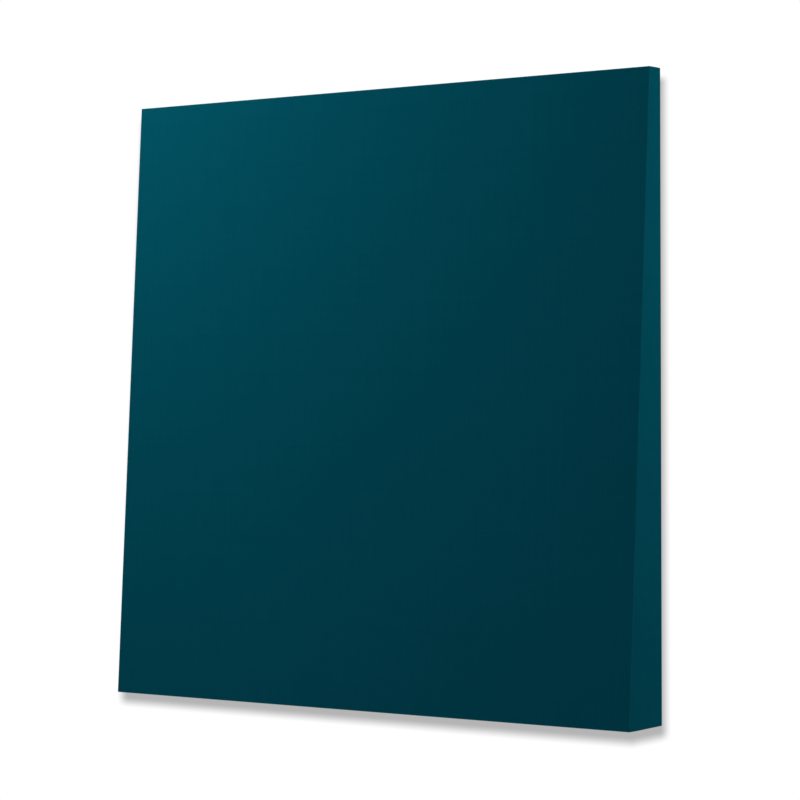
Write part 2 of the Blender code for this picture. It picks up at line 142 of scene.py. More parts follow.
class Finish:
    def __init__(self, name, settings, kind=bpy.data.materials):
        self.material = kind.new(name)
        self.material.use_nodes = True
        self.tree = self.material.node_tree
        # a new tree holds its shader and its output
        self.shader, self.output = sorted(self.tree.nodes, key=lambda node: "Output" in node.name)
        self.fill(self.shader, settings)

    def fill(self, node, sockets):
        for key, value in sockets.items():
            if isinstance(value, Wire):
                self.tree.links.new(value.socket, node.inputs[key])
            else:
                node.inputs[key].default_value = value

    def add(self, kind, settings=None, sockets=None, out=0):
        node = self.tree.nodes.new("ShaderNode" + kind)
        for key, value in (settings or {}).items():
            setattr(node, key, value)
        self.fill(node, sockets or {})
        return Wire(self, node.outputs[out])

    def split(self, vector):
        parts = self.add("SeparateXYZ", sockets={0: vector}).socket.node
        return [Wire(self, parts.outputs[i]) for i in range(3)]

    def join(self, x, y, z=0.0):
        return self.add("CombineXYZ", sockets={0: x, 1: y, 2: z})

    def place(self):
        return self.split(self.add("TexCoord", out="Object"))

    def facing(self):
        return self.split(self.add("TexCoord", out="Normal"))

    def speckle(self, vector, detail=2):
        return self.add("TexNoise", sockets={"Vector": vector, "Scale": 1.0, "Detail": detail})

    def mottle(self, place, perMetre, detail=2):
        # the same speckle in every direction
        return self.speckle(self.join(*(way * perMetre for way in place)), detail)

    def chance(self, value):
        settings = {"noise_dimensions": "1D"}
        return self.add("TexWhiteNoise", settings, {"W": value}, out="Value")

    def between(self, value, low, high, start=0.0, end=1.0, way="SMOOTHSTEP"):
        sockets = {0: value, 1: low, 2: high, 3: start, 4: end}
        return self.add("MapRange", {"interpolation_type": way}, sockets)

    def blend(self, factor, first, second, how="MIX"):
        settings = {"data_type": "RGBA", "blend_type": how}
        return self.add("Mix", settings, {0: factor, 6: first, 7: second}, out=2)

    def pick(self, mask, first, second):
        return self.add("Mix", {"data_type": "FLOAT"}, {0: mask, 2: first, 3: second})

    def tinted(self, colour, shade):
        return self.blend(1.0, (*colour, 1), shade, "MULTIPLY")

    def relief(self, height, distance):
        bump = self.add("Bump", sockets={"Height": height, "Distance": distance, "Strength": 1.0})
        self.fill(self.shader, {"Normal": bump})

    def done(self, colour, roughness):
        self.fill(self.shader, {"Base Color": colour, "Roughness": roughness})
        return self.material


# Finishes

tealClothLook = {
    "colour": (0.0006, 0.0565, 0.0855),
    "thread": 0.0007,  # from one thread to the next
    "fibres": (6, 1.2),  # how many across and along a thread, in its width
    "slubs": (0.5, 0.04),
    "clouds": 9,  # to the metre
    "gapShade": 0.49,  # painted shade between threads: how dark it is there
    "threadTone": 0.14,  # how much one thread differs from another
    "fibreTone": 0.24,  # how much the fibres in a thread differ
    "cloudTone": 0.04,  # broad, over the whole panel
    "relief": 0.00012,
    "fibreRelief": 0.35,
    "roughness": 0.98,
    "sheen": 0.10,
    "sheenTint": (0.0, 0.35, 0.45, 1),
    "edgeWearAndHighlight": 0.5,
    "wearAndHighlightFrom": (0.12, 0.42),  # how far an edge has turned, where the wear and painted highlight start and are full
    "wearAndHighlight": (0.006, 0.105, 0.15, 1),  # the lighter, dustier tone where the cloth turns an edge: wear, and a painted highlight on the rounded edges
}


def makeTealCloth(look):
    f = Finish("tealCloth", {
        "Specular IOR Level": 0.0,
        "Sheen Weight": look["sheen"],
        "Sheen Roughness": 0.4,
        "Sheen Tint": look["sheenTint"],
    })
    place = x, y, z = f.place()
    nx, ny, nz = f.facing()
    # the threads run on over the front edges: on a side, its depth is added to x or z
    depth = (y - z * lean - faceAt(0.0)) * (1 - (ny > facingShare))
    onSide = f.between(abs(nx), 0.2, 0.9)
    onEnd = f.between(abs(nz), 0.2, 0.9)
    right = (x > 0.0) * 2 - 1
    above = (z > middleZ) * 2 - 1
    warp = (x + right * depth * (1 - onEnd)) / look["thread"]
    weft = (z + above * depth * (1 - onSide)) / look["thread"]
    warpWave, weftWave = (warp * math.pi).sine(), (weft * math.pi).sine()
    warpOnTop = (warpWave * weftWave) > 0.0
    # a thread is round across and stays high along its length until it dives under the next
    across = f.pick(warpOnTop, abs(weftWave), abs(warpWave))
    along = f.pick(warpOnTop, abs(warpWave), abs(weftWave))
    hill = across ** 0.8 * along ** 0.25
    fine, long = look["fibres"]
    warpFibre = f.speckle(f.join(warp * fine, weft * long), detail=1)
    weftFibre = f.speckle(f.join(warp * long, weft * fine), detail=1)
    fibre = f.pick(warpOnTop, weftFibre, warpFibre)
    tone = f.pick(warpOnTop, f.chance(weft.floor()), f.chance(warp.floor()))
    thick, drawn = look["slubs"]
    slub = f.speckle(f.join(warp * thick, weft * drawn), detail=1)
    # painted shade of the weave: thread hills lighter, the gaps between threads darker
    shade = hill * (1 - look["gapShade"]) + look["gapShade"]
    shade = shade * ((tone + slub - 1) * look["threadTone"] + 1)
    shade = shade * ((fibre - 0.5) * look["fibreTone"] + 1)
    shade = shade * ((f.mottle(place, look["clouds"]) - 0.5) * look["cloudTone"] + 1)
    f.relief(hill + fibre * look["fibreRelief"], look["relief"])
    # lighter along the rounded edges: wear, and a painted highlight where an edge catches the
    # light
    turning = abs(nx * ny) + abs(ny * nz) + abs(nz * nx)
    wearAndHighlight = f.between(turning, *look["wearAndHighlightFrom"]) * (slub * 0.6 + 0.4) * look["edgeWearAndHighlight"]
    colour = f.blend(wearAndHighlight, f.tinted(look["colour"], shade), look["wearAndHighlight"])
    return f.done(colour, look["roughness"] - hill * 0.06)


blackClothLook = {
    "colour": (0.0085, 0.0085, 0.0092),
    "dotSpacing": 0.0016,
    "dotDepth": 0.00016,
    "dotShade": 0.35,
    "fibres": ((900, 2600), (2400, 800)),  # to the metre, each way that they lie
    "fibreTone": 1.1,
    "swirls": 130,  # to the metre
    "clouds": 45,
    "cloudTone": 0.5,
    "roughness": 0.85,
}


def makeBlackCloth(look):
    f = Finish("blackBondedCloth", {
        "Specular IOR Level": 0.15,
        "Sheen Weight": 0.02,
        "Sheen Roughness": 0.5,
        "Sheen Tint": (0.5, 0.5, 0.52, 1),
    })
    x, y, z = f.place()
    # heat-bonded dots in staggered rows
    u = (x + z) * (math.pi / look["dotSpacing"])
    v = (x - z) * (math.pi / look["dotSpacing"])
    dot = f.between(abs(u.sine() * v.sine()), 0.45, 0.8)
    # fibres that lie two ways and curl
    swirl = f.speckle(f.join(x * look["swirls"], z * look["swirls"]), detail=1)
    (wide, tall), (crossWide, crossTall) = look["fibres"]
    fibre = f.speckle(f.join(x * wide + swirl * 9, z * tall + swirl * 9))
    cross = f.speckle(f.join(x * crossWide - swirl * 7, z * crossTall + swirl * 7))
    cloud = f.speckle(f.join(x * look["clouds"], z * look["clouds"]), detail=3)
    hairs = f.between(fibre, 0.5, 0.75) + f.between(cross, 0.5, 0.75)
    shade = (hairs * look["fibreTone"] + 0.7) * (1 - dot * look["dotShade"])
    shade = shade * (f.between(cloud, 0.3, 0.7, -0.5, 0.5) * look["cloudTone"] + 1)
    f.relief(hairs * 0.4 - dot, look["dotDepth"])
    return f.done(f.tinted(look["colour"], shade), look["roughness"] - dot * 0.25)


waddingLook = {
    "colour": (0.78, 0.78, 0.75),
    "fluff": 0.0006,
    "strands": 600,  # to the metre
    "swirls": 70,
    "clouds": 25,
}


def makeWadding(look):
    f = Finish("whiteWadding", {"Specular IOR Level": 0.1, "Sheen Weight": 0.15})
    place = f.place()
    swirl = f.mottle(place, look["swirls"])
    u, v, w = (way * look["strands"] for way in place)
    strand = f.speckle(f.join(u + swirl * 30, v, w - swirl * 30), detail=4)
    cloud = f.mottle(place, look["clouds"], detail=3)
    shade = f.between(strand, 0.2, 0.8, 0.72, 1.0) * (cloud * 0.2 + 0.88)
    f.relief(strand + cloud, look["fluff"])
    return f.done(f.tinted(look["colour"], shade), 0.9 + strand * 0.1)


mineralWoolLook = {
    "colour": (0.38, 0.30, 0.14),
    "binder": (0.20, 0.15, 0.06, 1),  # the darker specks of resin
    "layer": 0.004,
    "swirls": 40,  # to the metre
    "specks": 500,
    "relief": 0.0006,
}


def makeMineralWool(look):
    f = Finish("mineralWool", {"Specular IOR Level": 0.15, "Sheen Weight": 0.1})
    place = x, y, z = f.place()
    # the fibres lie in the slab's plane, so cut edges show layers along y
    swirl = f.mottle(place, look["swirls"])
    lay = f.speckle(f.join(x * 90, y / look["layer"] + swirl * 4, z * 90), detail=3)
    strand = f.speckle(f.join(x * 1100 + swirl * 40, y * 1500, z * 1100 - swirl * 40), detail=3)
    speck = f.between(f.mottle(place, look["specks"], detail=0), 0.72, 0.78)
    shade = f.between(strand, 0.25, 0.75, 0.65, 1.15) * (lay * 0.5 + 0.75)
    colour = f.blend(speck * 0.7, f.tinted(look["colour"], shade), look["binder"])
    f.relief(strand + lay * 1.5, look["relief"])
    return f.done(colour, 0.95 - speck * 0.3)


pineLook = {
    "early": (0.66, 0.46, 0.25, 1),
    "late": (0.44, 0.24, 0.10, 1),
    "ring": 0.0032,
    "pith": (0.031, -0.047),  # how far the log's middle is from the timber's
    "wander": (0.010, 0.008),
    "knot": (0.20, 0.09, 0.035, 1),
    "knotSize": (0.05, 0.16),  # its dark middle and its rim, against the space between knots
    "relief": 0.00012,
}


def makePine(name, look, alongX):
    f = Finish(name, {"Specular IOR Level": 0.35})
    x, y, z = f.place()
    along, across = (x, z) if alongX else (z, x)
    wander = f.speckle(f.join(along * 3, across * 12, y * 12))
    side = across + look["pith"][0] + wander * look["wander"][0]
    depth = y + look["pith"][1] + wander * look["wander"][1]
    ring = (side * side + depth * depth) ** 0.5 / look["ring"]
    late = f.between((ring * math.tau).sine(), 0.1, 0.95)
    fibre = f.speckle(f.join(along * 60, across * 1500, y * 1500))
    spots = {"Vector": f.join(along * 5.5, across * 12, y * 4), "Scale": 1.0}
    knot = f.between(f.add("TexVoronoi", sockets=spots), *look["knotSize"], 1.0, 0.0)
    colour = f.blend(late * (0.55 + fibre * 0.4), look["early"], look["late"])
    colour = f.blend(knot, colour, look["knot"])
    colour = f.blend(0.35, colour, fibre, "SOFT_LIGHT")
    f.relief(fibre * 0.5 + late * 0.5, look["relief"])
    return f.done(colour, 0.55 + fibre * 0.2)


plywoodLook = {
    "pale": (0.60, 0.45, 0.27, 1),
    "dark": (0.34, 0.21, 0.11, 1),
    "ply": 0.0013,
    "relief": 0.0001,
}


def makePlywood(look):
    f = Finish("birchPlywood", {"Specular IOR Level": 0.3})
    x, y, z = f.place()
    onEdge = 1 - (abs(f.facing()[1]) > facingShare)
    layer = (y / look["ply"]).floor()
    crossPly = (layer * 0.5 - (layer * 0.5).floor()) > 0.25
    along = f.pick(crossPly, x, z)
    across = f.pick(crossPly, z, x)
    grain = f.speckle(f.join(along * 40, across * 900, layer), detail=3)
    figure = f.speckle(f.join(along * 8, across * 60, layer))
    colour = f.blend(figure * 0.5 + grain * 0.3, look["pale"], look["dark"])
    colour = f.blend(onEdge * crossPly * 0.6, colour, look["dark"])
    f.relief(grain, look["relief"])
    return f.done(colour, 0.6 + grain * 0.15)


aluminiumLook = {
    "colour": (0.56, 0.57, 0.58),
    "roughness": 0.34,
    "dieLine": 0.00004,
    "rub": (0.0085, 0.0125),  # heights between which the two lips slide on each other
    "rubFade": 0.002,
}


def makeAluminium(look):
    f = Finish("satinAluminium", {"Metallic": 1.0})
    x, y, z = f.place()
    # fine lines that the die leaves along the length, and a slight bloom
    lines = f.speckle(f.join(x * 2, y * 2600, z * 2600), detail=3)
    bands = f.speckle(f.join(x * 0.8, y * 420, z * 420), detail=1)
    bloom = f.speckle(f.join(x * 55, y * 90, z * 90), detail=3)
    marks = f.speckle(f.join(x * 60, y * 900, z * 1400))
    (low, high), fade = look["rub"], look["rubFade"]
    rubbed = f.between(z, low - fade, low) * f.between(z, high, high + fade, 1.0, 0.0)
    scuffs = f.between(marks, 0.66, 0.74) * (rubbed * 0.8 + 0.2)
    shade = lines * 0.16 + bands * 0.14 + bloom * 0.06 + 0.82 + scuffs * 0.15
    roughness = lines * 0.12 + bloom * 0.12 - scuffs * 0.12 + (look["roughness"] - 0.12)
    f.relief(lines + bands - scuffs * 0.6, look["dieLine"])
    return f.done(f.tinted(look["colour"], shade), roughness)


screwLook = {
    "cool": (0.58, 0.58, 0.52, 1),
    "warm": (0.70, 0.60, 0.40, 1),
    "spangles": 600,  # to the metre
    "pits": 4000,
    "roughness": 0.2,
    "relief": 0.00002,
}
stapleLook = {
    "cool": (0.40, 0.43, 0.47, 1),
    "warm": (0.55, 0.52, 0.44, 1),
    "spangles": 1500,
    "pits": 4000,
    "roughness": 0.22,
    "relief": 0.00002,
}


def makeZinc(name, look):
    f = Finish(name, {"Metallic": 1.0})
    place = f.place()
    spangle = f.mottle(place, look["spangles"], detail=3)
    pits = f.mottle(place, look["pits"], detail=1)
    colour = f.blend(f.between(spangle, 0.35, 0.65), look["cool"], look["warm"])
    f.relief(pits + spangle, look["relief"])
    return f.done(colour, spangle * 0.25 + look["roughness"])


rubberLook = {
    "colour": (0.017, 0.017, 0.018),
    "roughness": 0.62,
    "grains": 3000,  # to the metre
    "blooms": 250,
    "relief": 0.00005,
}


def makeRubber(look):
    f = Finish("blackRubber", {"Specular IOR Level": 0.4})
    place = f.place()
    grain = f.mottle(place, look["grains"])
    bloom = f.mottle(place, look["blooms"])
    shade = grain * 0.5 + bloom * 0.7 + 0.4
    f.relief(grain, look["relief"])
    return f.done(f.tinted(look["colour"], shade), bloom * 0.2 + look["roughness"])


tealCloth = makeTealCloth(tealClothLook)
blackCloth = makeBlackCloth(blackClothLook)
whiteWadding = makeWadding(waddingLook)
mineralWool = makeMineralWool(mineralWoolLook)
pineAcross = makePine("pineAcross", pineLook, True)
pineUpright = makePine("pineUpright", pineLook, False)
plywood = makePlywood(plywoodLook)
aluminium = makeAluminium(aluminiumLook)
screwZinc = makeZinc("yellowZinc", screwLook)
stapleZinc = makeZinc("stapleZinc", stapleLook)
rubber = makeRubber(rubberLook)
print("finishes made")


# The CAD pieces that stay get their finish, by how their names start

finishOf = {
    "top_rail": pineAcross,
    "bottom_rail": pineAcross,
    "left_stile": pineUpright,
    "right_stile": pineUpright,
    "corner_block": plywood,
    "frame_screw": screwZinc,
}

for name, node in nodes.items():
    for start, finish in finishOf.items():
        if name.startswith(start):
            for place in node.material_slots:
                place.material = finish


# Small helpers for the pieces

def smooth(value, low, high):
    share = min(1.0, max(0.0, (value - low) / (high - low)))
    return share * share * (3 - 2 * share)


def ripple(spot, wavelength, seed=0):
    return noise.noise(Vector(spot) / wavelength + Vector((seed, seed, seed)))


def makePiece(name, points, faces, finish, body="panel"):
    mesh = bpy.data.meshes.new(name)
    mesh.from_pydata([tuple(p) for p in points], [], faces)
    mesh.materials.append(finish)
    mesh.shade_smooth()
    piece = bpy.data.objects.new(name, mesh)
    bpy.context.scene.collection.objects.link(piece)
    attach(piece, body)
    return piece


def thicken(piece, thickness):
    piece.modifiers.new("thickness", "SOLIDIFY").thickness = thickness


def cells(low, high, size):
    # near-square cells over a flat box: their corners as (x, z), and faces that look along -y
    wide, tall = round((high.x - low.x) / size), round((high.z - low.z) / size)
    across = [low.x + (high.x - low.x) * i / wide for i in range(wide + 1)]
    upward = [low.z + (high.z - low.z) * k / tall for k in range(tall + 1)]
    faces = []
    for k in range(tall):
        for i in range(wide):
            a = k * (wide + 1) + i
            faces.append([a, a + 1, a + wide + 2, a + wide + 1])
    return [(x, z) for z in upward for x in across], faces


def meshLists(bm):
    bm.verts.index_update()
    points = [v.co.copy() for v in bm.verts]
    faces = [[v.index for v in face.verts] for face in bm.faces]
    bm.free()
    return points, faces


# Teal cover: the face, the four sides and the turn onto the back are one sheet

coverShape = {
    "thickness": 0.8 * millimetre,
    "edgeRadius": 0.9 * millimetre,
    "edgeSteps": 3,
    "cell": 0.010,
    "depthCells": 6,
    "lines": (1.3, 1.8, 2.5, 4.0, 7.0, 12.0, 18.0),  # more grid lines near each edge, in mm
    "rippleHeight": 0.12 * millimetre,
    "rippleLengths": (0.055, 0.021),
    "calmEdge": (0.002, 0.020),  # flat up to the first from an edge, full ripples past the second
    "foldDepth": 0.55 * millimetre,  # the crease beside each corner, on the top and bottom sides
    "foldWidth": 0.4 * millimetre,
    "foldFrom": 1.1 * millimetre,
    "foldGrows": (0.001, 0.012),  # from the face backwards
    "ridge": 0.30 * millimetre,  # the spare cloth that is folded away under it
    "ridgeSlope": 0.8,  # how fast the folded corner widens towards the back
    "ridgeEdge": (-0.003, 0.001),  # from flat to its full height
    "hem": 0.025,
    "hemLines": (3, 6, 9, 12.5, 16, 19, 22, 23.8),  # grid lines across the hem, in mm
    "hemEnds": (0.0, 0.6, 1.4, 3.0, 6.0),  # and along it, from each end
    "hemCells": 96,
    "hemPuff": 0.40 * millimetre,
    "hemLump": 0.08 * millimetre,
    "hemLumpLength": 0.012,
    "hemCurl": 0.25 * millimetre,
    "hemWander": 0.6 * millimetre,
    "hemWanderLength": 0.02,
    "curlFrom": 0.021,  # across the hem
    "wanderFrom": 0.015,
    "cornerCalm": (0.034, 0.060),  # the hem is flat up to the first from a corner
    "edgeCalm": (0.0015, 0.009),  # and from the panel's edge
    "stapleHold": 0.009,  # how far from a staple the hem is held down
    "lap": 0.85 * millimetre,  # how far the hem's lower layer sinks at a mitre
    "lapFrom": (-0.006, -0.0003),  # where it sinks, before the mitre
    "lapUnder": 0.004,  # how far the lower layer runs on past the mitre
    "tuck": 0.4 * millimetre,  # how far the upper layer's end turns down there
}


def roundingLines(shape):
    # the grid lines that coverPoint bends into even steps of an arc
    r, steps = shape["edgeRadius"], shape["edgeSteps"]
    return [r * (1 - math.tan(math.pi / 4 * (1 - i / steps))) for i in range(steps + 1)]


def spread(length, shape):
    # grid lines from one edge to the other, close together where the edges are rounded
    near = roundingLines(shape) + [d * millimetre for d in shape["lines"]]
    inner = length - 2 * near[-1]
    count = max(2, round(inner / shape["cell"]))
    middle = [near[-1] + inner * i / count for i in range(1, count)]
    return near + middle + [length - d for d in reversed(near)]


def depthLines(z, shape):
    r, count = shape["edgeRadius"], shape["depthCells"]
    near = roundingLines(shape)
    front, back = faceAt(z), hemPlane
    inner = back - front - 2 * r
    middle = [front + r + inner * i / count for i in range(1, count)]
    return [front + d for d in near] + middle + [back - d for d in reversed(near)]


def coverPoint(x, y, z, shape):
    # rounds the wedge's edges, then adds the cloth's own relief along the way it faces
    r = shape["edgeRadius"]
    innerX = min(halfWidth - r, max(r - halfWidth, x))
    innerZ = min(panelTop - r, max(panelBottom + r, z))
    innerY = min(hemPlane - r, max(faceAt(innerZ, r), y))
    inner = Vector((innerX, innerY, innerZ))
    out = (Vector((x, y, z)) - inner).normalized()
    fromSide = halfWidth - abs(x)
    fromEnd = min(panelTop - z, z - panelBottom)
    fromFace = y - faceAt(z)
    height = 0.0
    if out.y < -facingShare:
        calm = smooth(min(fromSide, fromEnd), *shape["calmEdge"])
        long, short = shape["rippleLengths"]
        lumps = ripple((x, 0, z), long) + 0.5 * ripple((x, 0, z), short, 7)
        height += shape["rippleHeight"] * lumps * calm
    if abs(out.z) > facingShare:
        grown = smooth(fromFace, *shape["foldGrows"])
        crease = math.exp(-((fromSide - shape["foldFrom"]) / shape["foldWidth"]) ** 2)
        under = smooth(fromFace * shape["ridgeSlope"] - fromSide, *shape["ridgeEdge"])
        height += grown * (shape["ridge"] * under * (1 - crease) - shape["foldDepth"] * crease)
    return inner + out * (r + height), out


def coverGrid(shape):
    xs = [d - halfWidth for d in spread(2 * halfWidth, shape)]
    zs = [panelBottom + d for d in spread(panelTop - panelBottom, shape)]
    deep = len(depthLines(0, shape)) - 1
    wide, tall, turned = len(xs) - 1, len(zs) - 1, shape["edgeSteps"]
    points, outs, numbers, faces = [], [], {}, []

    def number(i, j, k):
        key = (i, j, k)
        if key not in numbers:
            spot, out = coverPoint(xs[i], depthLines(zs[k], shape)[j], zs[k], shape)
            numbers[key] = len(points)
            points.append(spot)
            outs.append(out)
        return numbers[key]

    def quad(corners):
        ring = [number(*c) for c in corners]
        a, b, c = (points[n] for n in ring[:3])
        if (b - a).cross(c - b).dot(outs[ring[0]] + outs[ring[2]]) < 0:
            ring.reverse()
        faces.append(ring)

    # i counts across, j from the face to the back and k upwards
    for i in range(wide):
        for k in range(tall):
            square = [(i, k), (i + 1, k), (i + 1, k + 1), (i, k + 1)]
            quad([(a, 0, b) for a, b in square])
            if min(i, wide - 1 - i, k, tall - 1 - k) < turned:
                quad([(a, deep, b) for a, b in square])
    for j in range(deep):
        for i in range(wide):
            square = [(i, j), (i + 1, j), (i + 1, j + 1), (i, j + 1)]
            for k in (0, tall):
                quad([(a, b, k) for a, b in square])
        for k in range(tall):
            square = [(j, k), (j + 1, k), (j + 1, k + 1), (j, k + 1)]
            for i in (0, wide):
                quad([(i, a, b) for a, b in square])
    return points, faces


def hemLevel(x, z, across, shape):
    # the hem puffs up a little between its staples and is flat towards the corners
    nearest = min(math.hypot(x - sx, z - sz) for sx, sz in stapleSpots)
    held = math.exp(-(nearest / shape["stapleHold"]) ** 2)
    fromSide, fromEnd = halfWidth - abs(x), min(panelTop - z, z - panelBottom)
    fromEdge, fromCorner = min(fromSide, fromEnd), max(fromSide, fromEnd)
    loose = smooth(fromCorner, *shape["cornerCalm"]) * smooth(fromEdge, *shape["edgeCalm"])
    lumps = shape["hemLump"] * ripple((x, 0, z), shape["hemLumpLength"], 3)
    curl = shape["hemCurl"] * smooth(across, shape["curlFrom"], shape["hem"]) * (1 - held)
    return loose * (shape["hemPuff"] * (1 - 0.5 * held) + lumps + curl)


def hemStrip(side, shape, points, faces):
    # side is (dx, dz), the way out; upright strips lap over the level ones at the mitres
    upright = side[0] != 0
    r, hem, count = shape["edgeRadius"], shape["hem"], shape["hemCells"]
    acrossLines = [r, *(d * millimetre for d in shape["hemLines"]), hem]
    ends = [d * millimetre for d in shape["hemEnds"]]
    half = (panelTop - panelBottom) / 2 if upright else halfWidth
    stations = [-1 + 2 * i / count for i in range(count + 1)]
    first = len(points)
    for across in acrossLines:
        reach = half - across
        if not upright:
            reach = min(half - r, reach + shape["lapUnder"])
        line = [(reach - ends[-1]) * t for t in stations]
        line = [-reach + e for e in ends[:-1]] + line + [reach - e for e in reversed(ends[:-1])]
        for t in line:
            edge = smooth(across, shape["wanderFrom"], hem) * shape["hemWander"]
            s = across + edge * (ripple((t, *side), shape["hemWanderLength"], 11) - 0.3)
            x = side[0] * (halfWidth - s) if upright else t
            z = middleZ + t if upright else middleZ + side[1] * (half - s)
            level = hemLevel(x, z, across, shape)
            if upright:
                level -= shape["tuck"] * (1 - smooth(reach - abs(t), 0.0, ends[2]))
            else:
                past = abs(t) - (half - across)
                level -= shape["lap"] * smooth(past, *shape["lapFrom"])
            points.append(Vector((x, hemPlane + level, z)))
    wide = count + 1 + 2 * (len(ends) - 1)
    for i in range(len(acrossLines) - 1):
        for j in range(wide - 1):
            a = first + i * wide + j
            ring = [a, a + 1, a + wide + 1, a + wide]
            p, q, s = (points[n] for n in ring[:3])
            if (q - p).cross(s - q).y < 0:
                ring.reverse()
            faces.append(ring)


def makeCover(shape):
    points, faces = coverGrid(shape)
    for side in ((-1, 0), (1, 0), (0, -1), (0, 1)):
        hemStrip(side, shape, points, faces)
    cover = makePiece("tealCover", points, faces, tealCloth)
    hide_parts("fabric_cover")
    thicken(cover, shape["thickness"])
    return cover


cover = makeCover(coverShape)
print("cover wrapped:", len(cover.data.polygons), "faces")


# Loose thread ends along the hem's cut edge

threadEnds = {
    "perSide": 46,
    "radius": 0.10 * millimetre,
    "lengths": (0.8, 3.2),  # in mm
    "shortened": 1.2,  # and the longest beside the hanging rail
    "railReach": 0.125,
    "cornerGap": 0.004,  # none are nearer than this to the hem's inner corner
    "swing": 0.5,  # how far they turn aside and bend, in radians
    "tucked": 0.7 * millimetre,  # how far under the hem they start
    "sunk": 0.3 * millimetre,  # and how far below its plane
    "covered": 0.4 * millimetre,  # how much of each the hem hides
    "landed": 0.7,  # the share of its length after which it lies on the backing
    "points": 6,
    "seed": 5,
}


def tube(path, radius, points, faces, sides=5):
    first = len(points)
    for i, spot in enumerate(path):
        ahead = (path[min(i + 1, len(path) - 1)] - path[max(i - 1, 0)]).normalized()
        across = ahead.cross(Vector((0, 1, 0))).normalized()
        up = across.cross(ahead)
        for n in range(sides):
            turn = math.tau * n / sides
            points.append(spot + radius * (math.cos(turn) * across + math.sin(turn) * up))
    for i in range(len(path) - 1):
        for n in range(sides):
            a, b = first + i * sides + n, first + i * sides + (n + 1) % sides
            faces.append([a, a + sides, b + sides, b])
    last = first + (len(path) - 1) * sides
    faces.append([first + n for n in range(sides)])
    faces.append([last + n for n in reversed(range(sides))])


def makeThreads(look):
    draw = random.Random(look["seed"])
    points, faces = [], []
    inHem = hemPlane - look["sunk"]
    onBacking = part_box("back_cloth")[1].y + look["radius"]
    reach = halfWidth - coverShape["hem"] - look["cornerGap"]
    start = coverShape["hem"] - look["tucked"]
    for dx, dz in ((-1, 0), (1, 0), (0, -1), (0, 1)):
        for thread in range(look["perSide"]):
            t = draw.uniform(-reach, reach)
            shortest, longest = look["lengths"]
            if dz > 0 and abs(t) < look["railReach"]:
                longest = look["shortened"]
            length = draw.uniform(shortest, longest) * millimetre
            heading = draw.gauss(0, look["swing"])
            bend = draw.gauss(0, look["swing"])
            path = []
            for i in range(look["points"]):
                share = i / (look["points"] - 1)
                turn = heading + bend * share
                s = start + (look["covered"] + length) * share * math.cos(turn)
                slide = length * share * math.sin(turn)
                x = dx * (halfWidth - s) if dx else t + slide
                y = inHem + (onBacking - inHem) * smooth(share, 0, look["landed"])
                z = middleZ + (t + slide if dx else dz * (halfWidth - s))
                path.append(Vector((x, y, z)))
            tube(path, look["radius"], points, faces)
    return makePiece("hemThreads", points, faces, tealCloth)


threads = makeThreads(threadEnds)
print("thread ends made")


# Black backing cloth, stapled under the hem

backingShape = {
    "thickness": 0.5 * millimetre,
    "cell": 0.009,
    "belly": 0.30 * millimetre,
    "bellyLength": 0.09,
    "wrinkle": 0.30 * millimetre,
    "wrinkleLength": 0.022,
    "flatEdge": (0.022, 0.10),  # held flat up to the first from its edge, loose past the second
    "flatByRail": (0.004, 0.05),
    "cutCorner": 0.030,
}


def backingLevel(x, z, low, high, rail, shape):
    fromEdge = min(x - low.x, high.x - x, z - low.z, high.z - z)
    fromRailX = max(0.0, abs(x) - rail[1].x)
    fromRailZ = max(0.0, z - rail[1].z, rail[0].z - z)
    loose = smooth(fromEdge, *shape["flatEdge"])
    loose *= smooth(math.hypot(fromRailX, fromRailZ), *shape["flatByRail"])
    # the wrinkles are long and run at a slant
    lines = ripple((x + z * 0.6, 0, (z - x) * 0.22), shape["wrinkleLength"], 4)
    soft = ripple((x, 0, z), shape["bellyLength"], 9)
    return loose * (shape["belly"] * (0.7 + 0.5 * soft) + shape["wrinkle"] * lines)


def makeBacking(shape):
    low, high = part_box("back_cloth")
    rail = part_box("hanging_rail")
    spots, faces = cells(low, high, shape["cell"])
    bm = bmesh.new()
    grid = [bm.verts.new((x, high.y, z)) for x, z in spots]
    for ring in faces:
        bm.faces.new([grid[n] for n in ring[:1] + ring[:0:-1]])  # turned over, towards the wall
    for sx, cornerX in ((-1, low.x), (1, high.x)):
        for sz, cornerZ in ((-1, low.z), (1, high.z)):
            out = Vector((sx, 0, sz)).normalized()
            spot = Vector((cornerX - sx * shape["cutCorner"], high.y, cornerZ))
            everything = bm.verts[:] + bm.edges[:] + bm.faces[:]
            bmesh.ops.bisect_plane(
                bm, geom=everything, plane_co=spot, plane_no=out, clear_outer=True
            )
    for v in bm.verts:
        v.co.y += backingLevel(v.co.x, v.co.z, low, high, rail, shape)
    points, faces = meshLists(bm)
    backing = makePiece("blackBacking", points, faces, blackCloth)
    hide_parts("back_cloth")
    thicken(backing, shape["thickness"])


makeBacking(backingShape)
print("backing made")


# Wadding under the face cloth

waddingShape = {
    "cell": 0.012,
    "thinnest": 1.5 * millimetre,
    "lump": 0.18 * millimetre,
    "lumpLength": 0.016,
    "underCloth": 0.4 * millimetre,
}


def makeFacePadding(shape):
    low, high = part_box("face_wadding")
    inset = coverShape["thickness"] + shape["underCloth"]
    spots, faces = cells(low, high, shape["cell"])
    points = []
    for x, z in spots:
        lump = shape["lump"] * (0.5 + 0.5 * ripple((x, 0, z), shape["lumpLength"], 2))
        points.append(Vector((x, faceAt(z, inset) + lump, z)))
    padding = makePiece("facePadding", points, faces, whiteWadding)
    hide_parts("face_wadding")
    thicken(padding, shape["thinnest"])


makeFacePadding(waddingShape)
print("wadding laid")


# Mineral wool, cut to a wedge with slightly torn faces

woolShape = {
    "voxel": 0.006,
    "tear": 0.9 * millimetre,
    "tearLengths": (0.014, 0.006),
    "shrink": 0.35 * millimetre,
}


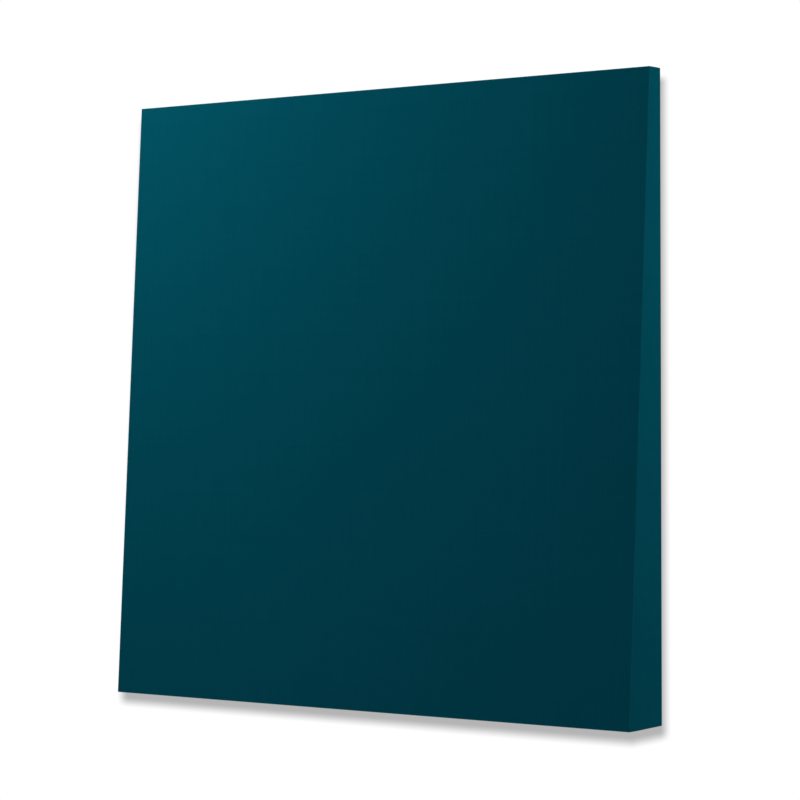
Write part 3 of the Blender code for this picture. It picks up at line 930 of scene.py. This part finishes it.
def makeWool(shape):
    rough = bpy.data.objects.new("woolSlab", nodes["absorber_core"].data.copy())
    bpy.context.scene.collection.objects.link(rough)
    remesh = rough.modifiers.new("cells", "REMESH")
    remesh.mode = "VOXEL"
    remesh.voxel_size = shape["voxel"]
    graph = bpy.context.evaluated_depsgraph_get()
    mesh = bpy.data.meshes.new_from_object(rough.evaluated_get(graph))
    long, short = shape["tearLengths"]
    points = []
    for v in mesh.vertices:
        torn = 0.5 + 0.5 * ripple(v.co, long, 1) + 0.3 * ripple(v.co, short, 5)
        points.append(v.co - v.normal * (shape["shrink"] + shape["tear"] * max(0.0, torn)))
    faces = [list(p.vertices) for p in mesh.polygons]
    bpy.data.objects.remove(rough, do_unlink=True)
    bpy.data.meshes.remove(mesh)
    slab = makePiece("woolWedge", points, faces, mineralWool)
    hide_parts("absorber_core")


makeWool(woolShape)
print("wool cut")


# Rails and staples, with the small roundings that the CAD leaves out

railShape = {"rounding": 0.35 * millimetre, "steps": 2, "sharperThan": 35}  # degrees
stapleShape = {"rounding": 0.20 * millimetre, "steps": 3, "sharperThan": 35}


def roundedCopy(source, name, body, finish, shape):
    bm = bmesh.new()
    bm.from_mesh(nodes[source].data)
    bmesh.ops.remove_doubles(bm, verts=bm.verts[:], dist=1e-6)
    flat = math.radians(1)
    bmesh.ops.dissolve_limit(bm, angle_limit=flat, verts=bm.verts[:], edges=bm.edges[:])
    points, faces = meshLists(bm)
    piece = makePiece(name, points, faces, finish, body)
    bevel = piece.modifiers.new("rounding", "BEVEL")
    bevel.width, bevel.segments = shape["rounding"], shape["steps"]
    bevel.limit_method = "ANGLE"
    bevel.angle_limit = math.radians(shape["sharperThan"])
    piece.modifiers.new("weld", "WELD").merge_threshold = 0.01 * millimetre
    piece.modifiers.new("evenShading", "WEIGHTED_NORMAL")
    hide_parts(source)


roundedCopy("hanging_rail", "hangingRail", "panel", aluminium, railShape)
roundedCopy("wall_rail", "wallRail", "wall", aluminium, railShape)
for source in [name for name in nodes if name.startswith("staple_")]:
    side, number = source.split("_")[1:]
    name = f"staple{side.capitalize()}{number}"
    roundedCopy(source, name, "panel", stapleZinc, stapleShape)
print("rails and staples rounded")


# Pan-head screws, turned, with a tapered cross recess

screwShape = {
    "sides": 64,
    "rings": 27,  # over the nearly flat middle
    "rimRings": 8,
    "headRadius": 3.6 * millimetre,
    "headHeight": 2.3 * millimetre,
    "crown": 2.4 * millimetre,  # radius of the nearly flat middle, which is raised a little
    "crownRise": 0.18 * millimetre,
    "rim": 0.9 * millimetre,
    "shankRadius": 1.8 * millimetre,
    "point": 3.0 * millimetre,
    "arm": 2.2 * millimetre,
    "armWidth": 0.55 * millimetre,
    "armTaper": 0.08,
    "recessDepth": 1.1 * millimetre,
    "recessWall": 0.22 * millimetre,
    "sharperThan": 60,  # degrees
    "railTurns": (8, 41, -17, 63),  # how far each recess is turned, in degrees
    "footTurns": (24, -35),
}


def recessAt(u, v, shape):
    u, v = abs(u), abs(v)
    width = shape["armWidth"]
    alongU = min(shape["arm"] - u, width - shape["armTaper"] * u - v)
    alongV = min(shape["arm"] - v, width - shape["armTaper"] * v - u)
    return shape["recessDepth"] * smooth(max(alongU, alongV), 0.0, shape["recessWall"])


def screwRings(low, high, shape):
    # (radius, y) from the middle of the head out over the rim and down the shank
    top, seat, crown = high.y, high.y - shape["headHeight"], shape["crown"]
    rings = []
    for i in range(1, shape["rings"] + 1):
        share = i / shape["rings"]
        rings.append((crown * share, top - shape["crownRise"] * share * share))
    rimFoot = seat + shape["rim"]
    rimHeight = rings[-1][1] - rimFoot
    for i in range(1, shape["rimRings"] + 1):
        angle = math.pi / 2 * i / shape["rimRings"]
        radius = crown + (shape["headRadius"] - crown) * math.sin(angle)
        rings.append((radius, rimFoot + rimHeight * math.cos(angle)))
    rings += [(shape["headRadius"], seat), (shape["shankRadius"], seat)]
    return rings + [(shape["shankRadius"], low.y + shape["point"])]


def makeScrew(source, name, turn, shape):
    low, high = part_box(source)
    middle = (low + high) / 2
    rings, sides = screwRings(low, high, shape), shape["sides"]
    c, s = math.cos(turn), math.sin(turn)
    points, faces = [], []
    for radius, y in rings:
        for n in range(sides):
            angle = math.tau * n / sides
            u, v = radius * math.cos(angle), radius * math.sin(angle)
            depth = recessAt(u, v, shape) if radius <= shape["crown"] else 0.0
            x, z = middle.x + u * c - v * s, middle.z + u * s + v * c
            points.append(Vector((x, y - depth, z)))
    for i in range(len(rings) - 1):
        for n in range(sides):
            a, b = i * sides + n, i * sides + (n + 1) % sides
            faces.append([a, b, b + sides, a + sides])
    points.append(Vector((middle.x, high.y - shape["recessDepth"], middle.z)))
    points.append(Vector((middle.x, low.y, middle.z)))
    last = (len(rings) - 1) * sides
    for n in range(sides):
        faces.append([(n + 1) % sides, n, len(points) - 2])
        faces.append([last + n, last + (n + 1) % sides, len(points) - 1])
    screw = makePiece(name, points, faces, screwZinc)
    screw.data.set_sharp_from_angle(angle=math.radians(shape["sharperThan"]))
    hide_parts(source)


for number, turn in enumerate(screwShape["railTurns"], 1):
    makeScrew(f"rail_screw_{number}", f"railScrew{number}", math.radians(turn), screwShape)
for side, turn in zip(("left", "right"), screwShape["footTurns"]):
    name = "footScrew" + side.capitalize()
    makeScrew("bumper_screw_" + side, name, math.radians(turn), screwShape)
print("screws turned")


# Rubber feet at the bottom corners of the back

footShape = {
    "steps": 48,
    "rimSteps": 5,
    "wellSteps": 3,
    "rim": 0.9 * millimetre,
    "flare": 0.5 * millimetre,
    "draft": 0.8 * millimetre,  # how much narrower the foot is at the wall
    "bore": 2.1 * millimetre,
    "wellPlay": 0.6 * millimetre,  # round the screw's head
    "seatPlay": 0.3 * millimetre,  # and under it
    "sharperThan": 50,  # degrees
}


def makeFoot(side, shape):
    low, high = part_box("bumper_" + side)
    screwLow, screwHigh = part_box("bumper_screw_" + side)
    centre = (low + high) / 2
    outer = (high.x - low.x) / 2
    seat = screwHigh.y - screwShape["headHeight"] - shape["seatPlay"]
    well = (screwHigh.x - screwLow.x) / 2 + shape["wellPlay"]
    rim, steps, count = shape["rim"], shape["steps"], shape["rimSteps"]
    # (radius, y) up the outside, over the two rims, down the well and through the bore
    profile = [(outer, low.y), (outer, low.y + shape["flare"])]
    for i in range(count + 1):
        turn = math.pi / 2 * i / count
        radius = outer - shape["draft"] - rim + rim * math.cos(turn)
        profile.append((radius, high.y - rim + rim * math.sin(turn)))
    for i in range(shape["wellSteps"] + 1):
        turn = math.pi / 2 * (1 - i / shape["wellSteps"])
        radius = well + rim - rim * math.cos(math.pi / 2 - turn)
        profile.append((radius, high.y - rim + rim * math.sin(turn)))
    profile += [(well, seat), (shape["bore"], seat), (shape["bore"], low.y)]
    points, faces = [], []
    for radius, y in profile:
        for n in range(steps):
            turn = math.tau * n / steps
            x, z = centre.x + radius * math.cos(turn), centre.z + radius * math.sin(turn)
            points.append(Vector((x, y, z)))
    for i in range(len(profile)):
        for n in range(steps):
            here, ahead = i * steps, (i + 1) % len(profile) * steps
            m = (n + 1) % steps
            faces.append([ahead + n, ahead + m, here + m, here + n])
    foot = makePiece("rubberFoot" + side.capitalize(), points, faces, rubber)
    foot.data.set_sharp_from_angle(angle=math.radians(shape["sharperThan"]))
    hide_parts("bumper_" + side)


for side in ("left", "right"):
    makeFoot(side, footShape)
print("feet turned")


# Stage: a white wall behind the panel, a pale floor well below it, three lamps and an even sky

stageLook = {
    # the wall's shadow is painted, not cast: where it lies, how soft its edges are and how dark it
    # is
    "shadowAside": 0.767,  # how far the shadow moves for each metre the face is off the wall
    "shadowDown": 0.30,
    "shadowCorner": (0.0357, 0.009),  # how far before its right end its foot rises, and how far up
    "shadowSoft": {"left": 0.0178, "right": 0.0137, "foot": 0.0133, "top": 0.0094},
    "shadowTone": 0.456,
    "white": 1.02,
    "wallBehind": 0.6 * millimetre,  # behind the rail's back
    "floorHeight": -1.30,
    "reach": 4.0,
    "floorColour": (0.86, 0.86, 0.86, 1),
    "skyColour": (0.97, 0.985, 1.0, 1),
    "skyStrength": 0.40,
    "lampAim": (0, -0.05, -0.23),
}

lamps = {
    "keyLamp": {
        "spot": (-0.558, -0.611, 0.526), "size": 0.40, "watts": 14.3, "colour": (1.0, 1.0, 0.95),
    },
    "sideLamp": {
        "spot": (0.971, 0.217, 0.089), "size": 0.50, "watts": 6.35, "colour": (1.0, 1.0, 0.93),
    },
    "backLamp": {
        "spot": (-0.70, 1.60, 0.70), "size": 0.90, "watts": 16.0, "colour": (1.0, 1.0, 0.98),
    },
}


def seenDirectly(f):
    rays = f.add("LightPath").socket.node
    kinds = ("Is Camera Ray", "Is Glossy Ray", "Is Transmission Ray")
    camera, glossy, through = (Wire(f, rays.outputs[kind]) for kind in kinds)
    return (camera + glossy + through) > 0.5


def seenFromFront(f):
    return seenDirectly(f) * (1 - f.add("NewGeometry", out="Backfacing"))


def mixed(f, factor, first, second):
    return f.add("MixShader", sockets={0: factor, 1: first, 2: second})


def surface(f, shader):
    f.fill(f.output, {"Surface": shader})
    return f.material


def makeWallFinish(look, panel):
    # white, with a painted soft shadow of the panel's outline, placed as a lamp above the camera
    # would throw it; it moves with the panel
    f = Finish("whiteWallPaintedShadow", {})
    x, y, z = f.split(f.add("TexCoord", {"object": panel}, out="Object"))
    aside, down, soft = look["shadowAside"], look["shadowDown"], look["shadowSoft"]
    corner, rise = look["shadowCorner"]
    foot = panelBottom + down * faceAt(panelBottom)
    top = panelTop + down * faceAt(panelTop)
    rising = f.between(x, halfWidth - corner, halfWidth, foot, foot + rise, "LINEAR")
    inward = {
        "left": x + halfWidth - (z * lean + faceAt(0.0)) * aside,
        "right": halfWidth - x,
        "foot": z - rising,
        "top": top - z,
    }
    inPaintedShadow = 1.0
    for side, distance in inward.items():
        inPaintedShadow = f.between(distance, -soft[side] / 2, soft[side] / 2) * inPaintedShadow
    # painted shadow: the wall's strength inside the shadow's outline
    shade = f.add("Emission", sockets={"Strength": look["shadowTone"]})
    white = f.add("Emission", sockets={"Strength": look["white"]})
    clear = f.add("BsdfTransparent")
    return surface(f, mixed(f, seenFromFront(f), clear, mixed(f, inPaintedShadow, white, shade)))


def makeFloorFinish(look):
    f = Finish("paleFloor", {"Base Color": look["floorColour"], "Roughness": 0.9})
    white = f.add("Emission", sockets={"Strength": look["white"]})
    clear = f.add("BsdfTransparent")
    solid = Wire(f, f.shader.outputs[0])
    away = mixed(f, seenDirectly(f), solid, clear)
    return surface(f, mixed(f, seenFromFront(f), away, white))


def makeSky(look):
    settings = {"Color": look["skyColour"], "Strength": look["skyStrength"]}
    f = Finish("sky", settings, bpy.data.worlds)
    white = f.add("Background", sockets={"Color": (1, 1, 1, 1)})
    return surface(f, mixed(f, seenDirectly(f), Wire(f, f.shader.outputs[0]), white))


def stagePlane(name, corners, finish):
    mesh = bpy.data.meshes.new(name)
    mesh.from_pydata(corners, [], [(0, 1, 2, 3)])
    mesh.materials.append(finish)
    plane = bpy.data.objects.new(name, mesh)
    bpy.context.scene.collection.objects.link(plane)


def placeLamp(name, lamp, aim):
    data = bpy.data.lights.new(name, "AREA")
    data.size, data.energy, data.color = lamp["size"], lamp["watts"], lamp["colour"]
    light = bpy.data.objects.new(name, data)
    light.location = lamp["spot"]
    way = Vector(aim) - Vector(lamp["spot"])
    light.rotation_euler = way.to_track_quat("-Z", "Y").to_euler()
    light.visible_camera = False
    bpy.context.scene.collection.objects.link(light)


wallY, far, floorZ = stageLook["wallBehind"], stageLook["reach"], stageLook["floorHeight"]
wallCorners = [(-far, wallY, floorZ), (far, wallY, floorZ), (far, wallY, far), (-far, wallY, far)]
stagePlane("wall", wallCorners, makeWallFinish(stageLook, cover))
floorCorners = [(-far, -far, floorZ), (far, -far, floorZ), (far, far, floorZ), (-far, far, floorZ)]
stagePlane("floor", floorCorners, makeFloorFinish(stageLook))
bpy.context.scene.world = makeSky(stageLook)
for name, lamp in lamps.items():
    placeLamp(name, lamp, stageLook["lampAim"])
bpy.context.scene.view_settings.view_transform = "Standard"
print("stage lit")
